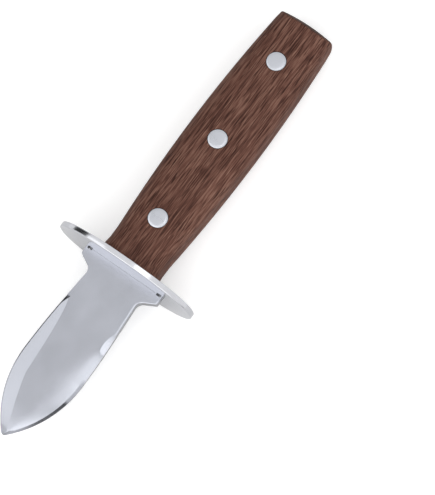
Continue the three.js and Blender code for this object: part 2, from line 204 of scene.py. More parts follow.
class BladeSettings(bpy.types.PropertyGroup):
    """Sizes of the blade, from its seat on the guard to the tip, and of its tongue and tang."""

    seat_gap: size("Seat gap", "Gap between the shoulders and the guard", 0.03)
    thickness: size("Thickness", "Thickness where the blade isn't ground", 3)
    width: size("Width", "Greatest width", 22.8)
    widest_from_tip: size("Widest from tip", "Distance from the tip to the widest place", 26.4)
    tip_radius: size("Tip radius", "Radius of the tip's outline", 1.2)
    grind_width: size("Grind width", "Width where the flat bevel starts", 20.8)
    neck_width: size("Neck width", "Width in front of the shoulders", 19.5)
    flat_start: size("Flat bevel start", "Distance from the seat to the flat bevel", 16.5)
    flat_ridge: size("Flat ridge", "Distance from the axis to the flat bevel at the ridge", 5.85)
    flat_point: size("Flat point", "Distance from the axis to the flat bevel at the tip", -1.2)
    flat_edge: amount("Flat edge", "Share of the height that the flat bevel leaves at the edge", 0.23)
    plunge_length: size("Plunge length", "Length over which the flat bevel's first lip narrows", 3.2)
    plunge_lip: size("Plunge lip", "Width of the lip where the flat bevel starts", 1.3)
    flat_lip: size("Flat lip", "Width of the small bevel that breaks the flat bevel's edge", 0.35)
    flat_lip_slope: angle("Flat lip slope", "Slope of that small bevel", 27)
    convex_start: size("Convex bevel start", "Distance from the seat to the convex bevel", 25)
    convex_ridge: size("Convex ridge", "Distance from the axis to the convex bevel at the ridge", 0.5)
    convex_point: size("Convex point", "Distance from the axis to the convex bevel at the tip", 1.3)
    convex_edge: amount("Convex edge", "Share of the height that the convex bevel leaves at the edge", 0.67)
    gentle_until: size("Gentle lip's end", "Distance from the seat to where the lip starts to steepen", 36)
    gentle_lip: size("Gentle lip", "Width of the lip that breaks the convex bevel's edge at first", 0.9)
    gentle_lip_slope: angle("Gentle lip slope", "Slope of that lip", 8)
    steep_from: size("Steep lip's start", "Distance from the seat to where the lip is steep", 46)
    steep_lip: size("Steep lip", "Width of the steep lip, which runs to the tip", 0.8)
    steep_lip_slope: angle("Steep lip slope", "Slope of the steep lip", 48)
    ridge_from_tip: size("Ridge from tip", "Distance from the tip to where the flat starts to close", 20.3)
    tip_drop_from_tip: size("Tip drop from tip", "Distance from the tip to where the flat starts to drop", 18)
    tip_height: size("Tip height", "Height over the middle plane that is left at the tip", 0.75)
    grind_ease: amount("Grind ease", "How soon a bevel reaches its full depth", 0.42)
    ridge_turn: amount("Ridge turn", "How softly the unground flat turns in to its point", 1.22)
    edge_break: size("Edge break", "Width and depth of the break along the unground edges", 0.08)
    neck_round: size("Neck round", "Width of the rounding along the neck's edge on the convex side", 0.6)
    neck_round_drop: size("Neck round drop", "Depth of that rounding", 0.08)
    scoop_from_seat: size("Scoop from seat", "Distance from the seat to the scoop's middle", 22.8)
    scoop_radius: size("Scoop radius", "Radius of the wheel that ground the scoop", 63)
    scoop_reach: size("Scoop reach", "How far the scoop reaches in from the edge", 2.1)
    scoop_slope: angle("Scoop slope", "Slope of the scoop's floor", 8)
    shoulder_width: size("Shoulder width", "Width over the shoulders", 30)
    shoulder_length: size("Shoulder length", "Length of the shoulders' straight ends", 2.8)
    shoulder_slope: angle("Shoulder slope", "Slope of the shoulders to the axis", 62)
    shoulder_fillet: size("Shoulder fillet", "Radius between the neck and the shoulders", 3)
    corner_radius: size("Corner radius", "Radius of the shoulders' corners", 0.6)
    tongue_width: size("Tongue width", "Width of the tongue in the guard's slot", 27.2)
    relief_width: size("Relief width", "Width of the notches between shoulders and tongue", 1.7)
    relief_length: size("Relief length", "Length of those notches", 0.9)
    tang_width: size("Tang width", "Width of the tang inside the handle", 15)
    tang_thickness: size("Tang thickness", "Thickness of the tongue and the tang", 2.4)
    tang_chamfer: size("Tang chamfer", "Chamfer of the tang's end", 2)


class GuardSettings(bpy.types.PropertyGroup):
    """Sizes of the oval guard."""

    exponent: amount("Oval exponent", "2 is an ellipse, more is squarer", 2.15)
    edge_radius: size("Edge radius", "Radius that breaks the rim's edges", 0.35)
    slot_clearance: size("Slot clearance", "Gap between the slot and the tongue", 0.1)


class HandleSettings(bpy.types.PropertyGroup):
    """Sizes of the two wooden scales."""

    front_width: size("Front width", "Width at the guard", 21.2)
    waist_width: size("Waist width", "Width at the waist", 20)
    waist_from_guard: size("Waist from guard", "Distance from the guard to the waist", 6.7)
    belly_width: size("Belly width", "Greatest width", 24.1)
    belly_from_butt: size("Belly from butt", "Distance from the butt to the belly", 46.4)
    butt_width: size("Butt width", "Width at the butt", 20)
    butt_dome: size("Butt dome", "How far the butt's seam stands out past its front and back edges", 3)
    butt_crown: size("Butt crown", "How far the butt's middle stands out past its sides", 0.8)
    edge_radius: size("Edge radius", "Radius of the handle's long edges", 6.5)
    butt_edge_radius: size("Butt edge radius", "Radius of the edges round the butt", 0.5)
    seam_break: size("Seam break", "Small bevel along the seam", 0.12)
    hole_break: size("Hole break", "Small bevel round each rivet's hole", 0.1)
    tang_clearance: size("Tang clearance", "Gap between the recess and the tang", 0.1)


class RivetSettings(bpy.types.PropertyGroup):
    """Sizes of the two-piece rivets."""

    head_radius: size("Head radius", "Radius of a head", 3.2)
    head_depth: size("Head depth", "Depth of a head", 1.4)
    rim_width: size("Rim width", "Width of the soft bevel round a head", 0.5)
    rim_drop: size("Rim drop", "Depth of that bevel", 0.15)
    dome: size("Dome", "Height of a head's crown", 0.04)
    pin_radius: size("Pin radius", "Radius of the pin", 1.5)
    sleeve_radius: size("Sleeve radius", "Radius of the sleeve", 2.1)
    end_gap: size("End gap", "Gap between a pin's or sleeve's end and the other's head", 0.6)
    clearance: size("Clearance", "Gap round the pin, the sleeve and the heads", 0.18)


class FinishSettings(bpy.types.PropertyGroup):
    """Colours and roughness of the finishes."""

    blade_steel: colour("Blade steel", "Satin steel of the blade", (0.42, 0.434, 0.478))
    blade_roughness: amount("Blade roughness", "Roughness of the blade's faces", 0.2)
    cut_steel: colour("Cut steel", "Dull steel of the blade's cut sides", (0.45, 0.455, 0.47))
    # Painted shade: the cut sides darken towards this colour between the next two places by the tip, in place
    # of dark reflections
    tip_shade_steel: colour("Ground steel", "Darker steel of those sides by the tip", (0.15, 0.153, 0.16))
    tip_shade_from: size("Ground steel's start", "Place along the knife where those sides start to darken", 54)
    tip_shade_full: size("Ground steel's full tone", "Place along the knife where they are darkest", 62)
    guard_steel: colour("Guard steel", "Polished steel of the guard", (0.63, 0.638, 0.672))
    guard_roughness: amount("Guard roughness", "Roughness of the guard", 0.15)
    rivet_steel: colour("Rivet steel", "Satin steel of the rivets", (0.5, 0.515, 0.555))
    rivet_roughness: amount("Rivet roughness", "Roughness of the rivets", 0.3)
    wood_dark: colour("Dark wood", "Dark streaks of the wood", (0.05, 0.022, 0.017))
    wood_body: colour("Wood", "Main colour of the wood", (0.125, 0.056, 0.041))
    wood_light: colour("Light wood", "Light streaks of the wood", (0.22, 0.115, 0.085))
    pore: colour("Pores", "Dark open pores of the wood", (0.03, 0.012, 0.009))
    fleck: colour("Flecks", "Pale flecks of the wood", (0.28, 0.15, 0.11))
    # Colour of the end faces: partly real end grain, partly painted shade
    end_grain_and_shade: colour("End grain", "Dark end grain at the butt", (0.035, 0.018, 0.015))


class StageSettings(bpy.types.PropertyGroup):
    """The camera, the floor and the light."""

    distance: size("Camera distance", "Distance from the camera to its aim", 696.22)
    azimuth: angle("Camera azimuth", "Direction of the camera round Z, 0 looks along +Y", 132.583)
    elevation: angle("Camera elevation", "Height of the camera over the horizon", 73.539)
    roll: angle("Camera roll", "Turn of the camera about its own axis", -7.065)
    lens: FloatProperty(
        name="Lens", description="Focal length on a 36 mm sensor", default=158.65, unit="CAMERA"
    )
    aim: FloatVectorProperty(
        name="Camera aim",
        description="Point at the middle of the picture",
        default=(-4.674 * MM, 19.605 * MM, 1.382 * MM),
        subtype="TRANSLATION",
    )
    floor_radius: size("Floor radius", "Radius of the floor", 600)
    floor_colour: colour("Floor", "Pale floor", (0.85, 0.85, 0.85))
    floor_lift: amount("Floor lift", "Light of its own that the floor shows the camera to read as white", 0.4)
    sky_level: amount("Sky level", "Strength of the light from all round", 0.74)
    sky_slant: amount("Sky slant", "What that light gains on its strong side and loses opposite", 0.64)
    sky_turn: angle("Sky turn", "Direction of the strong side round Z, from +Y towards +X", 25)
    card_colour: colour("Cards", "Black of the cards", (0.02, 0.02, 0.02))


def lerp(a, b, share):
    """The value at a share of the way from a to b."""
    return a + (b - a) * share


def share_of(a, b, value):
    """How far a value lies from a to b, kept from 0 to 1."""
    return min(max((value - a) / (b - a), 0), 1)


# Modelling helpers


def deselect():
    """Goes to object mode and selects nothing."""
    if bpy.context.mode != "OBJECT":
        bpy.ops.object.mode_set(mode="OBJECT")
    bpy.ops.object.select_all(action="DESELECT")


def choose(piece):
    """Selects one piece alone and makes it the active one."""
    deselect()
    piece.select_set(True)
    bpy.context.view_layer.objects.active = piece


def select_edges(piece, wanted):
    """In edit mode, selects the edges that a test wants."""
    bpy.ops.mesh.select_mode(type="EDGE")
    bpy.ops.mesh.select_all(action="DESELECT")
    mesh = bmesh.from_edit_mesh(piece.data)
    mesh.normal_update()
    for edge in mesh.edges:
        edge.select_set(wanted(edge))
    bmesh.update_edit_mesh(piece.data)


def select_faces(piece, wanted):
    """In edit mode, selects the faces that a test wants."""
    bpy.ops.mesh.select_mode(type="FACE")
    bpy.ops.mesh.select_all(action="DESELECT")
    mesh = bmesh.from_edit_mesh(piece.data)
    for face in mesh.faces:
        face.select_set(wanted(face))
    bmesh.update_edit_mesh(piece.data)


def shape_cap(piece, points):
    """In edit mode, puts the corners of the one selected face at the points."""
    mesh = bmesh.from_edit_mesh(piece.data)
    cap = next(face for face in mesh.faces if face.select)
    for corner, point in zip(cap.loops, points):
        corner.vert.co = point
    bmesh.update_edit_mesh(piece.data)


def extruded_sections(name, sections):
    """A closed piece: a filled ring that is extruded from section to section and shaped at each."""
    deselect()
    bpy.ops.mesh.primitive_circle_add(vertices=len(sections[0]), fill_type="NGON")
    piece = bpy.context.object
    piece.name = name
    bpy.ops.object.mode_set(mode="EDIT")
    bpy.ops.mesh.select_mode(type="FACE")
    shape_cap(piece, sections[0])
    for section in sections[1:]:
        bpy.ops.mesh.extrude_region_move()
        shape_cap(piece, section)
    bpy.ops.mesh.select_all(action="SELECT")
    bpy.ops.mesh.normals_make_consistent(inside=False)
    deselect()
    return piece


def cut(piece, tool):
    """Cuts a tool's shape out of a piece and removes the tool."""
    choose(piece)
    bpy.ops.object.modifier_add(type="BOOLEAN")
    modifier = piece.modifiers[-1]
    modifier.operation = "DIFFERENCE"
    modifier.solver = "EXACT"
    modifier.object = tool
    bpy.ops.object.modifier_apply(modifier=modifier.name)
    bpy.data.objects.remove(tool)


def round_tool(radius, low, high, x):
    """A round cutter along Z, on the knife's axis."""
    deselect()
    middle = (x, 0, (low + high) / 2)
    bpy.ops.mesh.primitive_cylinder_add(
        vertices=ROUND_STEPS, radius=radius, depth=high - low, location=middle
    )
    return bpy.context.object


def box_tool(low, high):
    """A square cutter between two corners."""
    deselect()
    corners = Vector(low), Vector(high)
    middle = (corners[0] + corners[1]) / 2
    bpy.ops.mesh.primitive_cube_add(size=1, location=middle, scale=corners[1] - corners[0])
    return bpy.context.object


def smooth(piece, limit):
    """Shades a piece smooth where its faces turn by less than a limit."""
    choose(piece)
    bpy.ops.object.shade_smooth_by_angle(angle=limit)


def dress(piece, slot, material, *nodes):
    """Cleans a piece's mesh and gives it its material and body, in the place of CAD nodes. Its slot is not
    used.
    """
    choose(piece)
    bpy.ops.object.transform_apply(location=True, rotation=True, scale=True)
    bpy.ops.object.mode_set(mode="EDIT")
    bpy.ops.mesh.select_all(action="SELECT")
    bpy.ops.mesh.remove_doubles(threshold=SAME_PLACE)
    bpy.ops.mesh.normals_make_consistent(inside=False)
    bpy.ops.object.mode_set(mode="OBJECT")
    piece.data.name = piece.name
    piece.data.materials.clear()
    piece.data.materials.append(material)
    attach(piece, BODY)
    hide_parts(*nodes)


# Tests of edges


def length_along(edge):
    """How far an edge reaches along the knife."""
    return abs(edge.verts[0].co.x - edge.verts[1].co.x)


def on_top(edge):
    """Whether an edge of the front scale lies in its outer face."""
    return all(corner.co.z > SCALE_HIGH.z - NEAR for corner in edge.verts)


def on_seam(edge):
    """Whether an edge of the front scale lies in the seam."""
    return all(corner.co.z < SCALE_LOW.z + NEAR for corner in edge.verts)


def parts_butt(edge):
    """Whether an edge parts the butt's face from another."""
    at_butt = [face.normal.x < -BUTT_FACING for face in edge.link_faces]
    return any(at_butt) and not all(at_butt)


def parts_side(edge):
    """Whether an edge has a side's or the butt's face beside it."""
    return any(abs(face.normal.z) < FACING and face.normal.x < FACING for face in edge.link_faces)


def rims_seat(edge):
    """Whether an edge lies between a rivet seat's wall and the outer face."""
    upright = [abs(face.normal.z) < FACING for face in edge.link_faces]
    return any(upright) and not all(upright)


# The blade's form


Lip = namedtuple("Lip", "place width slope")
Bevel = namedtuple("Bevel", "start ridge point edge near_lip far_lip")


class BladeForm:
    """Sections of the blade. A place along it is measured from the seat towards the tip."""

    def __init__(self, sizes):
        s = self.sizes = sizes
        self.seat = GUARD_HIGH.x + s.seat_gap
        self.length = BLADE_HIGH.x - self.seat
        self.widest = self.length - s.widest_from_tip
        self.ridge = self.length - s.ridge_from_tip
        self.rear = GUARD_LOW.x - self.seat
        self.tang_end = BLADE_LOW.x - self.seat
        plunge = Lip(s.flat_start, s.plunge_lip, s.flat_lip_slope)
        plain = Lip(s.flat_start + s.plunge_length, s.flat_lip, s.flat_lip_slope)
        self.flat_bevel = Bevel(s.flat_start, s.flat_ridge, s.flat_point, s.flat_edge, plunge, plain)
        gentle = Lip(s.gentle_until, s.gentle_lip, s.gentle_lip_slope)
        steep = Lip(s.steep_from, s.steep_lip, s.steep_lip_slope)
        self.convex_bevel = Bevel(
            s.convex_start, s.convex_ridge, s.convex_point, s.convex_edge, gentle, steep
        )

    def grind_half_width(self, place):
        """Half the width between the widest place and the neck."""
        s = self.sizes
        share = share_of(self.widest, s.flat_start, place)
        return lerp(s.width, s.grind_width, share**2) / 2

    def edge_outline(self):
        """(place, half width) from the tip's small round, over an ogive, to just behind the flat bevel."""
        s = self.sizes
        half = s.width / 2
        tip_centre = self.length - s.tip_radius
        reach = tip_centre - self.widest
        ogive = (reach**2 + half**2 - s.tip_radius**2) / (2 * (half - s.tip_radius))
        meet = math.atan2(ogive - half, reach)
        outline = []
        for step in range(1, TIP_STEPS + 1):
            turn = meet * step / TIP_STEPS
            place = self.length if step == 1 else tip_centre + s.tip_radius * math.cos(turn)
            outline.append((place, s.tip_radius * math.sin(turn)))
        for step in range(1, OGIVE_STEPS + 1):
            turn = lerp(meet, math.pi / 2, step / OGIVE_STEPS)
            outline.append((self.widest + ogive * math.cos(turn), half - ogive + ogive * math.sin(turn)))
        for step in range(1, GRIND_STEPS + 1):
            place = lerp(self.widest, s.flat_start, step / GRIND_STEPS)
            outline.append((place, self.grind_half_width(place)))
        return outline + [(s.flat_start - s.edge_break, s.grind_width / 2)]

    def shoulder_outline(self):
        """(place, half width) of the neck's fillet, the shoulder's slope, its corner and straight end."""
        s = self.sizes
        neck, half = s.neck_width / 2, s.shoulder_width / 2
        rise = half - neck - s.shoulder_fillet * (1 - math.cos(s.shoulder_slope))
        slope_start = s.shoulder_length + rise / math.tan(s.shoulder_slope)
        fillet_start = slope_start + s.shoulder_fillet * math.sin(s.shoulder_slope)
        outline = []
        for step in range(FILLET_STEPS + 1):
            turn = s.shoulder_slope * step / FILLET_STEPS
            out = s.shoulder_fillet * (1 - math.cos(turn))
            outline.append((fillet_start - s.shoulder_fillet * math.sin(turn), neck + out))
        corner_place = s.shoulder_length - s.corner_radius * math.tan(s.shoulder_slope / 2)
        for step in range(CORNER_STEPS + 1):
            turn = lerp(s.shoulder_slope, 0, step / CORNER_STEPS)
            place = corner_place + s.corner_radius * math.sin(turn)
            outline.append((place, half - s.corner_radius * (1 - math.cos(turn))))
        return outline + [(0, half)]

    def flat_end(self, place, bevel):
        """Distance from the axis to where the flat meets a bevel: a curve that turns in to the tip."""
        s = self.sizes
        start_half = self.grind_half_width(bevel.start)
        if place < self.ridge:
            share = share_of(bevel.start, self.ridge, place) ** s.grind_ease
            return lerp(start_half, bevel.ridge, share)
        span = self.length - self.ridge
        past = place - self.ridge
        slope = s.grind_ease * (start_half - bevel.ridge) / (self.ridge - bevel.start)
        turn = (past / span) ** s.ridge_turn
        return bevel.ridge - slope * past - (bevel.ridge - bevel.point - slope * span) * turn

    def bevel_at(self, place, half_width, top, bevel, lowest):
        """(distance from the axis, height) of a bevel: the flat's end, the lip's start and the edge."""
        near, far = bevel.near_lip, bevel.far_lip
        turn = share_of(near.place, far.place, place)
        width = min(lerp(near.width, far.width, turn), half_width * WIDEST_LIP)
        lip = half_width - width
        flat = max(min(self.flat_end(place, bevel), lip - self.least(half_width)), lowest)
        full = self.sizes.width / 2 - far.width - self.flat_end(self.widest, bevel)
        share = 1 if place > self.widest else share_of(0, full, lip - flat)
        edge = top * lerp(1, bevel.edge, share)
        foot = max(edge - width * math.tan(lerp(near.slope, far.slope, turn)), self.sizes.edge_break)
        return (flat, top), (lip, edge), (half_width, foot)

    def neck_edge(self, half_width, top, width, drop):
        """(distance from the axis, height) of an unground edge: its rounding's start, its break and end."""
        broken = self.sizes.edge_break
        lip = half_width - broken
        return (lip - width, top), (lip, top - drop), (half_width, top - drop - broken)

    def least(self, half_width):
        """The least distance between a section's points, which shrinks towards the tip."""
        return min(self.sizes.edge_break, half_width * LEAST_SPACING)

    def section(self, place, half_width):
        """A section of the blade: the front face, then the same after a half turn about the axis."""
        s = self.sizes
        drop = share_of(self.length - s.tip_drop_from_tip, self.length, place)
        top = lerp(s.thickness / 2, s.tip_height, drop**2)
        if place < s.convex_start:
            flat, lip, foot = self.neck_edge(half_width, top, s.neck_round, s.neck_round_drop)
        else:
            flat, lip, foot = self.bevel_at(place, half_width, top, self.convex_bevel, 0)
        front = [foot]
        for step in range(CONVEX_STEPS + 1):
            share = 1 - step / CONVEX_STEPS
            front.append((lerp(flat[0], lip[0], share), lerp(flat[1], lip[1], share**2)))
        if place < s.flat_start:
            far_side = self.neck_edge(half_width, top, s.edge_break, 0)
        else:
            lowest = self.least(half_width) - flat[0]
            far_side = self.bevel_at(place, half_width, top, self.flat_bevel, lowest)
        return self.ring(place, front + [(-y, z) for y, z in far_side])

    def plain_section(self, place, half_width):
        """A rectangular section of the tongue or the tang, with as many points as one of the blade."""
        half = self.sizes.tang_thickness / 2
        shares = [step / (SECTION_POINTS - 1) for step in range(SECTION_POINTS)]
        return self.ring(place, [(lerp(half_width, -half_width, share), half) for share in shares])

    def ring(self, place, front):
        """Both faces of a section as points."""
        points = front + [(-y, -z) for y, z in front]
        return [Vector((self.seat + place, y, z)) for y, z in points]

    def sections(self):
        """All the sections from the tip to the end of the tang."""
        s = self.sizes
        outline = self.edge_outline() + self.shoulder_outline()
        tongue, tang = s.tongue_width / 2, s.tang_width / 2
        plain = [
            (0, tongue),
            (self.rear, tongue),
            (self.rear - s.edge_break, tang),
            (self.tang_end + s.tang_chamfer, tang),
            (self.tang_end, tang - s.tang_chamfer),
        ]
        return [self.section(*step) for step in outline] + [self.plain_section(*step) for step in plain]

    def scoop_wheel(self):
        """The grinding wheel of the front face's scoop, whose axis lies along the scoop's slope."""
        s = self.sizes
        deselect()
        bpy.ops.mesh.primitive_cylinder_add(vertices=WHEEL_STEPS, radius=s.scoop_radius, depth=2 * s.width)
        wheel = bpy.context.object
        inner = self.grind_half_width(s.scoop_from_seat) - s.scoop_reach
        place = Matrix.Translation((self.seat + s.scoop_from_seat, inner, s.thickness / 2))
        slope = Matrix.Rotation(-s.scoop_slope, 4, "X")
        lift = Matrix.Translation((0, 0, s.scoop_radius))
        on_edge = Matrix.Rotation(math.pi / 2, 4, "X")
        wheel.matrix_world = place @ slope @ lift @ on_edge
        return wheel


# Materials


class Nodes:
    """A node tree that is built node by node."""

    def __init__(self, tree):
        self.tree = tree
        tree.nodes.clear()

    def add(self, kind, inputs=(), **settings):
        """A node with its settings. An input is a value or another node's output."""
        node = self.tree.nodes.new(kind)
        for name, value in settings.items():
            setattr(node, name, value)
        for name, value in dict(inputs).items():
            if isinstance(value, bpy.types.NodeSocket):
                self.tree.links.new(value, node.inputs[name])
            else:
                node.inputs[name].default_value = value
        return node

    def spread(self, value, source, target=(0, 1)):
        """A value's range moved to another, and kept in it."""
        ranged = {"Value": value, "From Min": source[0], "From Max": source[1]}
        ranged |= {"To Min": target[0], "To Max": target[1]}
        return self.add("ShaderNodeMapRange", ranged).outputs[0]

    def combine(self, operation, *values):
        """One or two values put through an operation."""
        return self.add("ShaderNodeMath", enumerate(values), operation=operation).outputs[0]

    def total(self, first, *others):
        """Values added up."""
        for other in others:
            first = self.combine("ADD", first, other)
        return first


class Finish(Nodes):
    """A material's nodes, over Object coordinates."""

    def __init__(self, name):
        self.material = bpy.data.materials.new(name)
        self.material.use_nodes = True
        super().__init__(self.material.node_tree)
        coordinates = self.add("ShaderNodeTexCoord").outputs
        self.place = coordinates["Object"]
        self.normal = coordinates["Normal"]

    def along(self, vector, axis):
        """A vector's part along an axis."""
        return self.add("ShaderNodeSeparateXYZ", {"Vector": vector}).outputs[axis]

    def facing(self, axis):
        """How far the surface faces along an axis, either way."""
        return self.combine("ABSOLUTE", self.along(self.normal, axis))

    def noise(self, pattern):
        """A noise from 0 to 1."""
        moved = {"Vector": self.place, "Scale": pattern.waves, "Location": pattern.shift}
        place = self.add("ShaderNodeMapping", moved).outputs[0]
        made = {"Vector": place, "Scale": 1, "Detail": pattern.detail}
        return self.add("ShaderNodeTexNoise", made).outputs[0]

    def blend(self, share, first, second):
        """A colour between two."""
        inputs = {MIX_SHARE: share, MIX_FIRST: first, MIX_SECOND: second}
        return self.add("ShaderNodeMix", inputs, data_type="RGBA").outputs[MIX_RESULT]

    def tint(self, share, value, change):
        """A colour that is darker or lighter by up to a change."""
        dark = [part * (1 - change) for part in value]
        light = [part * (1 + change) for part in value]
        return self.blend(share, opaque(dark), opaque(light))

    def bump(self, height, depth, strength=1.0):
        """A bumped normal, from a height that is scaled by a depth."""
        made = {"Height": height, "Distance": depth, "Strength": strength}
        return self.add("ShaderNodeBump", made).outputs[0]

    def made_of(self, shader):
        """The material, with a shader as its surface."""
        self.add("ShaderNodeOutputMaterial", {"Surface": shader.outputs[0]})
        return self.material

    def surface(self, **inputs):
        """The material, with a surface whose inputs' names have underscores for spaces."""
        named = {name.replace("_", " "): value for name, value in inputs.items()}
        return self.made_of(self.add("ShaderNodeBsdfPrincipled", named))


def opaque(value):
    """A colour with an alpha of 1."""
    return (*value, 1.0)


def satin_steel(name, finishes):
    """Steel with fine grinding lines across the blade, and dull cut sides with painted shade that darkens
    them towards the tip.
    """
    finish = Finish(name)
    lines, smudges = finish.noise(GRINDING_LINES), finish.noise(SMUDGES)
    side = finish.spread(finish.facing("Z"), SIDE_RANGE)
    # Painted shade along the knife: the cut sides darken towards the tip in place of dark reflections
    darkening = (finishes.tip_shade_from, finishes.tip_shade_full)
    ground = finish.spread(finish.along(finish.place, "X"), darkening)
    face_tint = finish.tint(finish.spread(smudges, NOISE_RANGE), finishes.blade_steel, BLADE_TINT)
    cut_tint = finish.blend(ground, opaque(finishes.cut_steel), opaque(finishes.tip_shade_steel))
    rough = finish.total(
        finishes.blade_roughness,
        finish.spread(lines, LINES_RANGE, BLADE_SHEEN),
        finish.spread(smudges, NOISE_RANGE, BLADE_SHEEN),
        finish.combine("MULTIPLY", side, CUT_DULLNESS),
    )
    return finish.surface(
        Base_Color=finish.blend(side, face_tint, cut_tint),
        Metallic=1.0,
        Roughness=rough,
        Normal=finish.bump(lines, GRINDING_DEPTH),
    )


def polished_steel(name, value, roughness):
    """Steel with faint wiping marks and haze."""
    finish = Finish(name)
    wipes, haze = finish.noise(WIPING_MARKS), finish.noise(HAZE)
    rough = finish.total(
        roughness,
        finish.spread(wipes, NOISE_RANGE, WIPING_SHEEN),
        finish.spread(haze, NOISE_RANGE, HAZE_SHEEN),
    )
    return finish.surface(
        Base_Color=finish.tint(finish.spread(haze, NOISE_RANGE), value, POLISHED_TINT),
        Metallic=1.0,
        Roughness=rough,
        Normal=finish.bump(wipes, WIPING_DEPTH),
    )


def dark_wood(name, finishes):
    """Dark open-grained wood with straight grain along the handle, and end faces darkened partly as end grain
    and partly as painted shade.
    """
    finish = Finish(name)
    grain = finish.noise(GRAIN)
    tone = finish.total(
        finish.spread(finish.noise(FIGURE), NOISE_RANGE, (0, FIGURE_SHARE)),
        finish.spread(finish.noise(STREAKS), NOISE_RANGE, (0, STREAKS_SHARE)),
        finish.spread(grain, NOISE_RANGE, (0, GRAIN_SHARE)),
    )
    ramp = finish.add("ShaderNodeValToRGB", {"Fac": tone})
    stops = ramp.color_ramp.elements
    stops[0].position, stops[0].color = DARK_TONE, opaque(finishes.wood_dark)
    stops[1].position, stops[1].color = LIGHT_TONE, opaque(finishes.wood_light)
    stops.new(BODY_TONE).color = opaque(finishes.wood_body)
    # End faces darken: partly real end grain, partly painted shade where the butt faces away from the light
    at_end = finish.spread(finish.facing("X"), END_RANGE, (0, END_GRAIN_AND_SHADE_SHARE))
    open_pore = finish.spread(finish.noise(PORES), PORES_RANGE, (0, PORES_SHARE))
    pale_fleck = finish.spread(finish.noise(FLECKS), FLECKS_RANGE, (0, FLECKS_SHARE))
    body = finish.blend(pale_fleck, ramp.outputs[0], opaque(finishes.fleck))
    body = finish.blend(open_pore, body, opaque(finishes.pore))
    body = finish.blend(at_end, body, opaque(finishes.end_grain_and_shade))
    ridges = finish.spread(grain, NOISE_RANGE, (0, GRAIN_HEIGHT))
    height = finish.combine("SUBTRACT", ridges, open_pore)
    return finish.surface(
        Base_Color=body,
        Roughness=finish.spread(grain, NOISE_RANGE, WOOD_ROUGHNESS),
        Specular_IOR_Level=WOOD_SHINE,
        Normal=finish.bump(height, WOOD_DEPTH, WOOD_RELIEF),
    )


# Operators


class KNIFE_OT_blade(bpy.types.Operator):
    """Models the ground blade with its shoulders, tongue and tang"""

    bl_idname = "oyster_knife.blade"
    bl_label = "Add blade"

    def execute(self, context):
        sizes, rivet = context.scene.knife_blade, context.scene.knife_rivet
        form = BladeForm(sizes)
        blade = extruded_sections("ground_blade", form.sections())
        for turn in (Matrix.Identity(4), HALF_TURN):
            wheel = form.scoop_wheel()
            wheel.matrix_world = turn @ wheel.matrix_world
            cut(blade, wheel)
        through = sizes.thickness
        relief = Vector((sizes.relief_length / 2, sizes.relief_width / 2, through))
        for side in (-1, 1):
            corner = Vector((form.seat, side * sizes.tongue_width / 2, 0))
            cut(blade, box_tool(corner - relief, corner + relief))
        for place in RIVET_PLACES:
            cut(blade, round_tool(rivet.sleeve_radius + rivet.clearance, -through, through, place))
        smooth(blade, BLADE_SMOOTHING)
        dress(blade, "blade_steel", satin_steel("satin_steel", context.scene.knife_finish), "blade")
        return {"FINISHED"}


class KNIFE_OT_guard(bpy.types.Operator):
    """Models the oval guard with its slot for the blade"""

    bl_idname = "oyster_knife.guard"
    bl_label = "Add guard"

    def execute(self, context):
        scene = context.scene
        sizes, blade, finishes = scene.knife_guard, scene.knife_blade, scene.knife_finish
        thickness = GUARD_HIGH.x - GUARD_LOW.x
        deselect()
        bpy.ops.mesh.primitive_circle_add(vertices=GUARD_STEPS, fill_type="NGON")
        guard = bpy.context.object
        guard.name = "oval_guard"
        bpy.ops.object.mode_set(mode="EDIT")
        bpy.ops.mesh.select_mode(type="FACE")
        shape_cap(guard, self.oval(sizes.exponent))
        bpy.ops.mesh.extrude_region_move(TRANSFORM_OT_translate={"value": (thickness, 0, 0)})
        bpy.ops.mesh.select_all(action="SELECT")
        bpy.ops.mesh.normals_make_consistent(inside=False)
        select_edges(guard, lambda edge: length_along(edge) < thickness / 2)
        bpy.ops.mesh.bevel(offset=sizes.edge_radius, segments=GUARD_EDGE_STEPS)
        slot = Vector((thickness, blade.tongue_width / 2, blade.tang_thickness / 2))
        slot += Vector((0, sizes.slot_clearance, sizes.slot_clearance))
        middle = Vector(((GUARD_LOW.x + GUARD_HIGH.x) / 2, 0, 0))
        cut(guard, box_tool(middle - slot, middle + slot))
        smooth(guard, GUARD_SMOOTHING)
        steel = polished_steel("polished_steel", finishes.guard_steel, finishes.guard_roughness)
        dress(guard, "guard_steel", steel, "guard")
        return {"FINISHED"}

    def oval(self, exponent):
        """Points of the guard's outline on its rear face."""
        power = 2 / exponent
        points = []
        for step in range(GUARD_STEPS):
            across, up = math.cos(FULL_TURN * step / GUARD_STEPS), math.sin(FULL_TURN * step / GUARD_STEPS)
            y = math.copysign(abs(across) ** power, across) * GUARD_HIGH.y
            z = math.copysign(abs(up) ** power, up) * GUARD_HIGH.z
            points.append(Vector((GUARD_LOW.x, y, z)))
        return points


